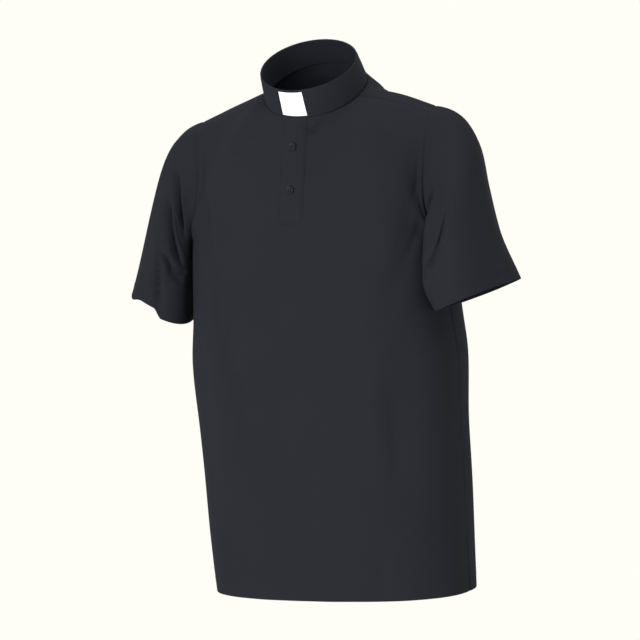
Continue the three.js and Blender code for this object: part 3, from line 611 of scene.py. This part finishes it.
def add_bump(tree, shader, height, strength, distance, before=None):
    bump = tree.nodes.new("ShaderNodeBump")
    bump.inputs["Strength"].default_value = strength
    bump.inputs["Distance"].default_value = distance
    tree.links.new(height, bump.inputs["Height"])
    if before is not None:
        tree.links.new(before, bump.inputs["Normal"])
    tree.links.new(bump.outputs["Normal"], shader.inputs["Normal"])
    return bump.outputs["Normal"]


KNIT_WALE = 0.0011  # metres between the knit's columns
KNIT_COURSE = 0.0009  # and between its rows


def knit_material(name, low, high):
    made, tree, shader = material(name, low, 1.0, 0.07)
    place = tree.nodes.new("ShaderNodeTexCoord")
    colour_spread(tree, shader, low, high, 9.0, 4.0, place.outputs["Object"])
    split = tree.nodes.new("ShaderNodeSeparateXYZ")
    tree.links.new(place.outputs["UV"], split.inputs[0])
    course = math_node(tree, "PINGPONG", math_node(tree, "DIVIDE", split.outputs[1], KNIT_COURSE), 0.5)
    wale = math_node(tree, "DIVIDE", split.outputs[0], KNIT_WALE)
    phase = math_node(tree, "MULTIPLY", math_node(tree, "ADD", wale, course), 2 * math.pi)
    stitch = math_node(tree, "SINE", phase)
    normal = add_bump(tree, shader, stitch, 0.35, 0.00012)
    rough = node(tree, "ShaderNodeTexNoise", Scale=45.0, Detail=5.0)
    tree.links.new(place.outputs["Object"], rough.inputs["Vector"])
    add_bump(tree, shader, rough.outputs["Fac"], 0.25, 0.0015, normal)
    return made


cloth = knit_material("navy_knit", (0.0120, 0.0134, 0.0181), (0.0156, 0.0169, 0.0223))
thread, thread_tree, thread_shader = material("navy_thread", (0.012, 0.0135, 0.018), 0.8, 0.15)
twist = node(thread_tree, "ShaderNodeTexNoise", Scale=900.0, Detail=2.0)
colour_spread(thread_tree, thread_shader, (0.015, 0.0165, 0.021), (0.021, 0.023, 0.029), 60.0)
add_bump(thread_tree, thread_shader, twist.outputs["Fac"], 0.3, 0.0002)
white, white_tree, white_shader = material("white_tab", (0.86, 0.86, 0.84), 0.42, 0.5)
grain = colour_spread(white_tree, white_shader, (0.84, 0.84, 0.82), (0.90, 0.90, 0.885), 25.0)
add_bump(white_tree, white_shader, grain.outputs["Fac"], 0.08, 0.0005)
dark, dark_tree, dark_shader = material("button_plastic", (0.008, 0.009, 0.011), 0.28, 0.12)
swirl = colour_spread(dark_tree, dark_shader, (0.005, 0.006, 0.008), (0.012, 0.013, 0.016), 140.0, 5.0)
add_bump(dark_tree, dark_shader, swirl.outputs["Fac"], 0.05, 0.0002)

# Grid lines of the panels: millimetres from an edge, turned into each parameter
TURN_PER_MM = 0.0062
LOWER_PER_MM = TORSO_SHARE / (UNDERARM_Z - TORSO["z"][0])
UPPER_PER_MM = 0.0020
NEAR_SEAM = (0.6, 1.3, 2.1, 3.2, 4.6, 6.4, 8.8)
NEAR_BODY_HEM = (0.6, 1.6, 3, 18.6, 19.4, 20, 20.6, 21.4, 23)
NEAR_CUFF_HEM = (0, 0.6, 1.6, 3, 6, 9, 12, 14, 15.2, 16, 16.8, 18, 20)
PANEL_COLUMNS, PANEL_ROWS = 166, 180
SLEEVE_COLUMNS, SLEEVE_ROWS = 120, 72
DEEPEST_GROOVE = 0.95


def mirror_lines(half):
    return np.unique(np.concatenate([-half, half]).round(9))


def panel_grids(columns, rows):
    """Outer points and normals of the front and back, with the same edge normals where a seam joins them."""
    near = [d * TURN_PER_MM for d in NEAR_SEAM]
    turns = mirror_lines(spaced(0.0, 1.0, columns // 2, (), near))
    hem = [d * LOWER_PER_MM for d in NEAR_BODY_HEM]
    heights = spaced(0.0, 1.0, rows, hem, [d * UPPER_PER_MM for d in NEAR_SEAM])
    turn, height = np.meshgrid(turns, heights)
    points = [panel_point(turn, height, back) for back in (False, True)]
    normals = [grid_normals(points[0], False, 1), grid_normals(points[1], False, -1)]
    joined = (np.abs(turn) == 1) & (height <= TORSO_SHARE) | (height == 1) & (np.abs(turn) >= NECK_SHARE)
    shared = unit(normals[0] + normals[1])
    side, end = (1 - np.abs(turn)) / TURN_PER_MM, (1 - height) / UPPER_PER_MM
    from_hem = height / LOWER_PER_MM
    side_depth = np.where(height > TORSO_SHARE, 0.5, 0.9)
    groove = seam_groove(side, side_depth) + seam_groove(end)
    groove += seam_groove(from_hem - BODY_HEM_FOLD, 0.25, 0.8)
    for k in (0, 1):
        normals[k] = np.where(joined[..., None], shared, normals[k])
        points[k] = points[k] - normals[k] * np.minimum(groove, DEEPEST_GROOVE)[..., None]
    return points, normals, hem_wall(from_hem, BODY_HEM_DEPTH)


(front_grid, back_grid), (front_normals, back_normals), panel_wall = panel_grids(PANEL_COLUMNS, PANEL_ROWS)

cells = (front_grid[:-1, :-1] + front_grid[1:, 1:]) / 2
slot = (np.abs(cells[..., 0]) < SLOT_WIDTH / 2 - 1) & (cells[..., 2] > SLOT_END_Z + 2) & (cells[..., 1] < 0)
slot[-1] = False
front = shell("front_cloth", front_grid, panel_wall, cloth, hole=slot, normals=front_normals)
back = shell("back_cloth", back_grid, panel_wall, cloth, sense=-1, normals=back_normals)


def down_at(name, turns, from_cuff):
    """Where down a sleeve each place so far up from the cuff lies, that distance, and the full length."""
    fine_down = np.linspace(1, 0, 161)
    rows = sleeve_point(name, *np.meshgrid(turns, fine_down), fine=False)
    steps = np.linalg.norm(np.diff(rows, axis=0), axis=-1)
    reach = np.concatenate([np.zeros((1, len(turns))), np.cumsum(steps, 0)])
    far = from_cuff(reach[-1])
    down = np.stack([np.interp(far[:, i], reach[:, i], fine_down) for i in range(len(turns))], -1)
    return down, far, reach[-1]


def sleeve_shell(name):
    row = SLEEVES[name]
    turns = np.linspace(0, 1, SLEEVE_COLUMNS, endpoint=False)
    hem = np.array(NEAR_CUFF_HEM)

    def rows_from_cuff(length):
        seam = length - np.array(NEAR_SEAM + (0.0,))[::-1, None]
        seam = np.sort(seam, 0)
        middle = np.linspace(0, 1, SLEEVE_ROWS)[1:-1, None] * (seam[0] - hem[-1]) + hem[-1]
        return np.concatenate([np.repeat(hem[:, None], len(length), 1), middle, seam])[::-1]

    down, from_hem, length = down_at(name, turns, rows_from_cuff)
    p = sleeve_point(name, np.broadcast_to(turns, down.shape), down)
    n = grid_normals(p, True, 1)
    groove = seam_groove(length - from_hem, 0.5, 1.6) + seam_groove(from_hem - CUFF_HEM_DEPTH, 0.3, 0.8)
    p = p - n * groove[..., None]
    allowance = p[:1] - unit(p[1:2] - p[:1]) * SEAM_ALLOWANCE - n[:1] * SEAM_ALLOWANCE / 2
    p, n = np.concatenate([allowance, p]), np.concatenate([n[:1], n])
    wall = hem_wall(np.concatenate([from_hem[:1], from_hem]), CUFF_HEM_DEPTH)
    flip = np.array([row["side"], 1, 1])
    return shell(name + "_cloth", p * flip, wall, cloth, wrap=True, sense=row["side"], normals=n * flip)


sleeves = {name: sleeve_shell(name) for name in SLEEVES}

# Collar: its window lies on grid lines
tab_half = TAB_WIDTH / 2 / -NECK_FRONT_Y
window_half = (TAB_WIDTH / 2 + SEAM_GAP) / -NECK_FRONT_Y
low_up, high_up = TAB_BOTTOM_STRIP / COLLAR_HEIGHT, 1 - TAB_TOP_STRIP / COLLAR_HEIGHT
angles = np.concatenate([
    np.linspace(-window_half, window_half, 17)[:-1],
    np.linspace(window_half, 2 * np.pi - window_half, 201)[:-1],
])
gap_up = SEAM_GAP / COLLAR_HEIGHT
ups = np.unique(np.concatenate([
    [COLLAR_LIFT / COLLAR_HEIGHT, 0.02, 0.035, low_up - gap_up],
    np.linspace(low_up - gap_up, high_up + gap_up, 19),
    [high_up + gap_up, 0.965, 0.985, 1.0],
]).round(9))
angle_grid, up_grid = np.meshgrid(angles, ups)
collar_grid = collar_point(angle_grid, up_grid)
collar_normals = grid_normals(collar_grid, True, 1)


def collar_bulge(angle, up):
    """How far the band swells out, least at the tab."""
    from_front = np.abs(np.angle(np.exp(1j * angle)))
    return 0.7 * np.sin(np.pi * up) * (0.4 + 0.6 * smooth(0.25, 0.6, from_front))


collar_groove = seam_groove(up_grid * COLLAR_HEIGHT, 0.4, 1.2)
collar_rise = (collar_bulge(angle_grid, up_grid) - collar_groove) * COLLAR_SWELL
collar_outer = collar_grid + collar_normals * collar_rise[..., None]
middle_up = (ups[:-1] + ups[1:]) / 2
middle_angle = np.concatenate([(angles[:-1] + angles[1:]) / 2, [2 * np.pi - window_half + 1]])
within_height = (middle_up > low_up - gap_up) & (middle_up < high_up + gap_up)
window = (np.abs(middle_angle) < window_half)[None, :] & within_height[:, None]
collar = shell("collar_cloth", collar_outer, COLLAR_WALL, cloth, wrap=True, hole=window)

tab_angles, tab_ups = np.meshgrid(np.linspace(-tab_half, tab_half, 25), np.linspace(low_up, high_up, 21))
tab_face = collar_point(tab_angles, tab_ups)
tab_normals = grid_normals(tab_face, False, 1)
tab_end = np.minimum(tab_ups - low_up, high_up - tab_ups) / (high_up - low_up) * 2
edge = np.minimum(1 - np.abs(tab_angles) / tab_half, tab_end)
tab_face = tab_face - tab_normals * (TAB_RECESS + 0.35 * smooth(0.08, 0, edge))[..., None]
tab = shell("tab_white", tab_face, TAB_WALL, white, normals=tab_normals)


# Placket strips, made from the front's own points
def solve_turn(x, height):
    low, high = np.full(np.shape(x), -0.6), np.full(np.shape(x), 0.6)
    for _ in range(34):
        middle = (low + high) / 2
        short = panel_base(middle, height, False)[..., 0] < x
        low, high = np.where(short, middle, low), np.where(short, high, middle)
    return (low + high) / 2


def height_at(z):
    low, high = 0.0, 1.0
    for _ in range(40):
        middle = (low + high) / 2
        if panel_base(np.array(0.0), np.array(middle), False)[2] < z:
            low = middle
        else:
            high = middle
    return (low + high) / 2


def strip_surface(x, height):
    return panel_point(solve_turn(x, height), height, False)


def strip(name, raise_by, wall, stitched):
    half = PLACKET_WIDTH / 2
    near = (0.5, 1.2, 2.2, 2.8, 3.4, 4.4)
    xs = mirror_lines(spaced(0.0, half, 12, (), near))
    low = height_at(PLACKET_END_Z)
    rows_near = [d * UPPER_PER_MM for d in (0.5, 1.2, 2.2, 2.8, 3.4)]
    heights = spaced(low, 1 - 0.0003, 60, rows_near, ())
    x, height = np.meshgrid(xs, heights)
    p = strip_surface(x, height)
    n = grid_normals(p, False, 1)
    side, end = half - np.abs(x), (height - low) / UPPER_PER_MM
    rounding = 0.6 * smooth(2.4, 0, side) + 0.6 * smooth(2.4, 0, end)
    lines = (side - PLACKET_ROW, *(p[..., 2] - z for z in PLACKET_END_ROWS_Z)) if stitched else ()
    puff = sum(seam_groove(away, 0.6, 1.0) for away in lines)
    p = p + n * (raise_by - rounding - puff)[..., None]
    return shell(name, p, wall, cloth)


upper_raise = SEAM_GAP + PLACKET_SHOWN
placket_upper = strip("placket_upper_cloth", upper_raise, PLACKET_SHOWN, True)
placket_under = strip("placket_under_cloth", -CLOTH_WALL - SEAM_GAP, PLACKET_WALL, False)


# Stitches: short rounded threads laid along a line on the cloth
STITCH_LENGTH, STITCH_GAP, STITCH_RADIUS = 2.3, 0.8, 0.26
RING = [(math.cos(a), math.sin(a)) for a in np.linspace(0, 2 * math.pi, 6, endpoint=False)]
PROFILE = ((-0.5, 0.25), (-0.36, 0.9), (0.0, 1.0), (0.36, 0.9), (0.5, 0.25))


def stitch_rows(name, lines, lift=0.12):
    """lines are (points, normals) along the cloth; every stitch dips into the cloth at both ends."""
    verts, faces = [], []
    for points, normals in lines:
        reach = np.concatenate([[0], np.cumsum(np.linalg.norm(np.diff(points, axis=0), axis=1))])
        pitch = STITCH_LENGTH + STITCH_GAP
        starts = np.arange(0.4, reach[-1] - STITCH_LENGTH, pitch)
        for start in starts:
            at = start + STITCH_LENGTH * (np.array([q[0] for q in PROFILE]) + 0.5)
            centre = np.stack([np.interp(at, reach, points[:, k]) for k in range(3)], -1)
            up = unit(np.stack([np.interp(at, reach, normals[:, k]) for k in range(3)], -1))
            ahead = unit(centre[-1] - centre[0])
            side = unit(np.cross(up, ahead))
            first = len(verts)
            for k, (_, size) in enumerate(PROFILE):
                r = STITCH_RADIUS * size
                rise = lift - (0.3 if k in (0, 4) else 0.0)
                for c, s in RING:
                    verts.append(centre[k] + up[k] * (rise + r * 0.8 * s) + side[k] * r * c)
            size = len(RING)
            for k in range(len(PROFILE) - 1):
                for i in range(size):
                    a, b = first + k * size + i, first + k * size + (i + 1) % size
                    faces.append((a, b, b + size, a + size))
            faces.append(tuple(first + i for i in reversed(range(size))))
            faces.append(tuple(first + (len(PROFILE) - 1) * size + i for i in range(size)))
    return mesh_object(name, np.array(verts), faces, None, thread)


def surface_line(point, a, b, sense=1):
    """Points and outward normals of a surface along a line of parameters."""
    step = 2e-4
    p = point(a, b)
    da = point(a + step, b) - point(a - step, b)
    db = point(a, np.minimum(b + step, 1)) - point(a, np.maximum(b - step, 0))
    return p, unit(np.cross(da, db)) * sense


def along_panel(back, turn, height):
    return surface_line(lambda a, b: panel_point(a, b, back), turn, height, -1 if back else 1)


around = np.linspace(-0.995, 0.995, 420)
hem_lines = []
for away in BODY_HEM_ROWS:
    level = np.full(around.shape, away * LOWER_PER_MM)
    hem_lines += [along_panel(False, around, level), along_panel(True, around, level)]
hem_stitches = stitch_rows("hem_stitches", hem_lines)

seam_lines = []
for side in (-1, 1):
    seam = side * np.linspace(NECK_SHARE + 0.02, 0.985, 60)
    seam_lines.append(along_panel(False, seam, np.full(seam.shape, 1 - SHOULDER_ROW * UPPER_PER_MM)))
shoulder_stitches = stitch_rows("shoulder_stitches", seam_lines)


def cuff_lines(name):
    row = SLEEVES[name]
    turn = np.linspace(0, 1, 260)
    lines = []
    for away in CUFF_HEM_ROWS:
        down = down_at(name, turn, lambda length: np.full((1, len(turn)), away))[0][0]
        p, n = surface_line(lambda a, b: sleeve_point(name, a, b), turn, down)
        flip = np.array([row["side"], 1, 1])
        lines.append((p * flip, n * flip))
    return lines


cuff_stitches = {name: stitch_rows(name + "_stitches", cuff_lines(name)) for name in SLEEVES}


def collar_line(up, start, end, count=400):
    angle = np.linspace(start, end, count)
    p, n = surface_line(collar_point, angle, np.full(angle.shape, up))
    return p + n * (collar_bulge(angle, up) * COLLAR_SWELL)[:, None], n


row_start = window_half + 0.03
collar_stitches = stitch_rows("collar_stitches", [
    collar_line(1 - COLLAR_TOP_ROW / COLLAR_HEIGHT, row_start, 2 * np.pi - row_start),
    collar_line(COLLAR_BASE_ROW / COLLAR_HEIGHT, row_start, 2 * np.pi - row_start),
])


def placket_line(xs, zs, count):
    x = np.linspace(xs[0], xs[1], count)
    height = np.linspace(height_at(zs[0]), height_at(zs[1]), count)
    p, n = surface_line(strip_surface, x, height)
    return p + n * upper_raise, n


stitch_x = PLACKET_WIDTH / 2 - PLACKET_ROW
side_row_z = (PLACKET_END_ROWS_Z[0] + 0.5, PLACKET_ROW_TOP_Z)
placket_lines = [placket_line((x, x), side_row_z, 120) for x in (-stitch_x, stitch_x)]
placket_lines += [placket_line((-stitch_x, stitch_x), (z, z), 40) for z in PLACKET_END_ROWS_Z]
placket_stitches = stitch_rows("placket_stitches", placket_lines)


# Buttons, turned on a lathe with four drilled holes, and sewn on
def lathe(profile, segments):
    verts = [(0, 0, profile[0][1])]
    for r, z in profile[1:-1]:
        ring = np.linspace(0, 2 * math.pi, segments, endpoint=False)
        verts += [(r * math.cos(a), r * math.sin(a), z) for a in ring]
    verts.append((0, 0, profile[-1][1]))
    rings = len(profile) - 2
    faces = [(0, 1 + (i + 1) % segments, 1 + i) for i in range(segments)]
    for k in range(rings - 1):
        for i in range(segments):
            a, b = 1 + k * segments + i, 1 + k * segments + (i + 1) % segments
            faces.append((a, b, b + segments, a + segments))
    last = len(verts) - 1
    start = 1 + (rings - 1) * segments
    faces += [(last, start + i, start + (i + 1) % segments) for i in range(segments)]
    return np.array(verts, float), faces


def button(name, z):
    r, t = BUTTON_DIAMETER / 2, BUTTON_THICKNESS
    rim, dish = r - BUTTON_RIM, t - BUTTON_DISH
    curve = [(0, 0), (r - 1.1, 0), (r - 0.5, 0.15), (r - 0.12, 0.55), (r, 1.0), (r, t - 0.9)]
    curve += [(r - 0.12, t - 0.4), (r - 0.45, t - 0.08), (r - 0.8, t), (rim + 0.3, t - 0.05)]
    curve += [(rim - 0.1, t - 0.3), (rim - 0.6, dish + 0.05), (rim - 1.0, dish), (0, dish)]
    verts, faces = lathe(curve, 48)
    body = mesh_object(name + "_disc", verts, faces, None, dark)
    drills = []
    for x in (-1, 1):
        for y in (-1, 1):
            radius = BUTTON_HOLE_DIAMETER / 2
            hole = [(0, -2), (radius, -2), (radius, t + 2), (0, t + 2)]
            v, f = lathe(hole, 20)
            v += np.array([x, y, 0]) * BUTTON_HOLE_SPREAD
            drill = mesh_object(name + "_drill", v, f)
            cut = body.modifiers.new("hole", "BOOLEAN")
            cut.object, cut.operation, cut.solver = drill, "DIFFERENCE", "EXACT"
            drills.append(drill)
    depsgraph = bpy.context.evaluated_depsgraph_get()
    mesh = bpy.data.meshes.new_from_object(body.evaluated_get(depsgraph))
    body.modifiers.clear()
    body.data = mesh
    for drill in drills:
        bpy.data.objects.remove(drill)
    threads = []
    s = BUTTON_HOLE_SPREAD
    for a, b in (((-s, -s), (s, s)), ((-s, s), (s, -s))):
        across = np.linspace(0, 1, 9)
        height = dish + 0.35 - 1.6 * np.abs(across - 0.5) ** 3 * 8
        threads.append(np.stack([lerp(a[0], b[0], across), lerp(a[1], b[1], across), height], -1))
    v, f = [], []
    for line in threads:
        for shift in (-0.22, 0.22):
            first = len(v)
            ahead = unit(line[-1] - line[0])
            side = np.array([-ahead[1], ahead[0], 0])
            for q in line:
                for c, s2 in RING:
                    v.append(q + side * (shift + 0.24 * c) + np.array([0, 0, 0.24 * s2]))
            size = len(RING)
            for k in range(len(line) - 1):
                for i in range(size):
                    m0, m1 = first + k * size + i, first + k * size + (i + 1) % size
                    f.append((m0, m0 + size, m1 + size, m1))
            f.append(tuple(first + i for i in range(size)))
            f.append(tuple(first + (len(line) - 1) * size + i for i in reversed(range(size))))
    sewn = mesh_object(name + "_thread", np.array(v), f, None, thread)
    height = height_at(z)
    p, n = surface_line(lambda a, b: panel_point(a, b, False, False), np.array([0.0]), np.array([height]))
    turn = Vector((0, 0, 1)).rotation_difference(Vector(n[0])).to_matrix().to_4x4()
    place = Matrix.Translation(Vector(((p[0] + n[0] * (2 * SEAM_GAP + PLACKET_WALL)) * MM).tolist())) @ turn
    for piece in (body, sewn):
        piece.data.transform(place)
    return body, sewn


buttons = {name: button(name, z) for name, z in BUTTONS.items()}

# What stands for each solid, and the body that each piece rides on
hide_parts("front_panel")
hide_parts("back_panel")
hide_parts("collar_band")
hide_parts("collar_tab")
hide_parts("placket_upper")
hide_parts("placket_under")
for name, piece in sleeves.items():
    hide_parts(name)
for name, (disc, _) in buttons.items():
    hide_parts(name)
stitches = [hem_stitches, shoulder_stitches, collar_stitches, placket_stitches, *cuff_stitches.values()]
stitches += [sewn for _, sewn in buttons.values()]
cloth_pieces = [front, back, collar, placket_upper, placket_under, *sleeves.values()]
for piece in (*cloth_pieces, *stitches):
    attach(piece, "root")
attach(tab, "root")
for disc, _ in buttons.values():
    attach(disc, "root")


# Floor, light and camera
corners = [(FLOOR_HALF * x, FLOOR_HALF * y, FLOOR_Z) for x, y in ((-1, -1), (1, -1), (1, 1), (-1, 1))]
plane = mesh_object("floor", corners, [(0, 1, 2, 3)])
floor_material, _, floor_shader = material("floor_paint", (0.02, 0.02, 0.02), 1.0, 0.0)
floor_shader.inputs["Emission Color"].default_value = (*BACKDROP, 1)
floor_shader.inputs["Emission Strength"].default_value = 0.98
plane.data.materials.append(floor_material)

scene = bpy.context.scene
world = bpy.data.worlds.new("studio")
scene.world = world
world.use_nodes = True
sky = world.node_tree.nodes["Background"]
sky.inputs["Color"].default_value = (*BACKDROP, 1)
sky.inputs["Strength"].default_value = 1.0


def softbox(name, place, aim, size, power):
    light = bpy.data.lights.new(name, "AREA")
    light.shape = "RECTANGLE"
    light.size, light.size_y = size
    light.energy = power
    lamp = bpy.data.objects.new(name, light)
    lamp.location = Vector(place)
    lamp.rotation_euler = (Vector(aim) - Vector(place)).to_track_quat("-Z", "Y").to_euler()
    scene.collection.objects.link(lamp)


softbox("key", (-0.5, -3.5, -0.1), (0.0, 0.0, -0.5), (2.0, 2.0), 105)
softbox("top", (0.5, 0.9, 2.1), (0.0, 0.0, -0.1), (1.6, 1.6), 34)

azimuth, elevation = math.radians(CAMERA_AZIMUTH), math.radians(CAMERA_ELEVATION)
stand = Vector((
    math.sin(azimuth) * math.cos(elevation),
    -math.cos(azimuth) * math.cos(elevation),
    math.sin(elevation),
)) * CAMERA_DISTANCE * MM
aim = Vector((CAMERA_ASIDE * math.cos(azimuth), CAMERA_ASIDE * math.sin(azimuth), CAMERA_AIM_Z)) * MM
ahead = (aim - stand).normalized()
right = ahead.cross(Vector((0, 0, 1))).normalized()
up = right.cross(ahead)
roll = math.radians(CAMERA_ROLL)
right, up = right * math.cos(roll) - up * math.sin(roll), up * math.cos(roll) + right * math.sin(roll)
camera_data = bpy.data.cameras.new("camera")
camera_data.sensor_width = SENSOR
camera_data.lens = SENSOR * FOCAL_PIXELS / PICTURE
camera_data.clip_end = 200
camera = bpy.data.objects.new("camera", camera_data)
pose = Matrix((right, up, -ahead)).transposed().to_4x4()
pose.translation = stand
camera.matrix_world = pose
scene.collection.objects.link(camera)
scene.camera = camera
scene.view_settings.view_transform = "Standard"
scene.view_settings.look = "None"
scene.view_settings.exposure = 0
scene.view_settings.gamma = 1
